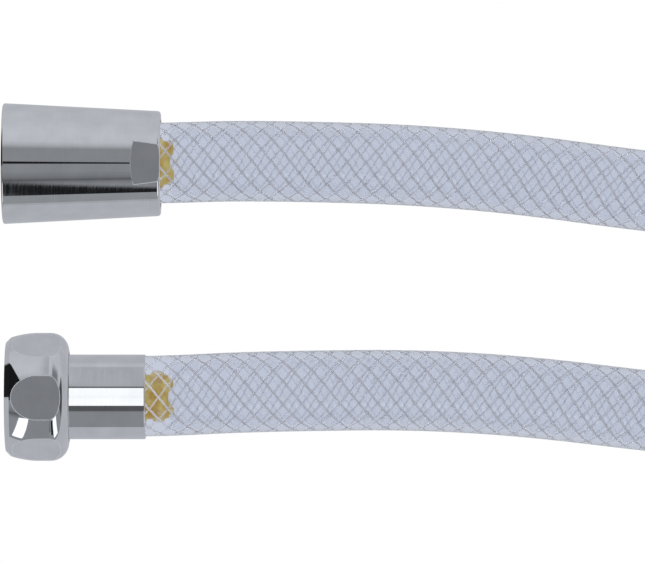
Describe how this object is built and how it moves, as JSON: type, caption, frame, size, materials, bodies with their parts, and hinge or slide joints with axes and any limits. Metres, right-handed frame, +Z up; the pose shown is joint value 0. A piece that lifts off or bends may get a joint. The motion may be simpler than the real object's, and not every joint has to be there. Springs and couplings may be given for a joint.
{
  "type": "spray hose",
  "caption": "Clear reinforced water hose, put away as a hank, with a conical nut on one end and a hex nut with a crimped ferrule on the other.",
  "frame": {"origin": "on the plane that the hose lies on, in the middle of the two end fittings", "axes": "+X from the fittings' mouths towards the hank, +Y from the hex nut towards the conical nut, +Z up"},
  "size_m": [0.416, 0.1372, 0.033],
  "materials": {
    "chrome_plating": "polished chrome plating",
    "insert_brass": "machined brass",
    "washer_rubber": "matt black rubber",
    "hose_cover": "clear soft plastic with a smooth surface",
    "hose_liner": "clear soft plastic, slightly milky",
    "hose_yarn": "white reinforcing yarn",
    "strap_fabric": "woven pale grey strap"
  },
  "bodies": {
    "hose": {"cone_end_insert": "insert_brass", "cone_end_sleeve": "chrome_plating", "hex_end_insert": "insert_brass", "hex_end_ferrule": "chrome_plating", "cone_run_cover": "hose_cover", "cone_run_liner": "hose_liner", "hex_run_cover": "hose_cover", "hex_run_liner": "hose_liner", "hose_hank": "hose_cover", "hose_tie": "strap_fabric"},
    "cone_washer": {"cone_end_washer": "washer_rubber"},
    "conical_nut": {"conical_nut": "chrome_plating"},
    "hex_washer": {"hex_end_washer": "washer_rubber"},
    "hex_nut": {"hex_nut": "chrome_plating"}
  },
  "joints": [
    {"name": "conical_nut_float", "type": "slide", "parent": "hose", "child": "cone_washer", "axis": [-1, 0, 0], "range_m": [0, 0.001]},
    {"name": "conical_nut_spin", "type": "hinge", "parent": "cone_washer", "child": "conical_nut", "pos_m": [-0.0074, 0.0235, 0.012], "axis": [1, 0, 0], "continuous": true},
    {"name": "hex_nut_float", "type": "slide", "parent": "hose", "child": "hex_washer", "axis": [-1, 0, 0], "range_m": [0, 0.001]},
    {"name": "hex_nut_spin", "type": "hinge", "parent": "hex_washer", "child": "hex_nut", "pos_m": [-0.008, -0.0228, 0.0119], "axis": [1, 0, 0], "continuous": true}
  ]
}
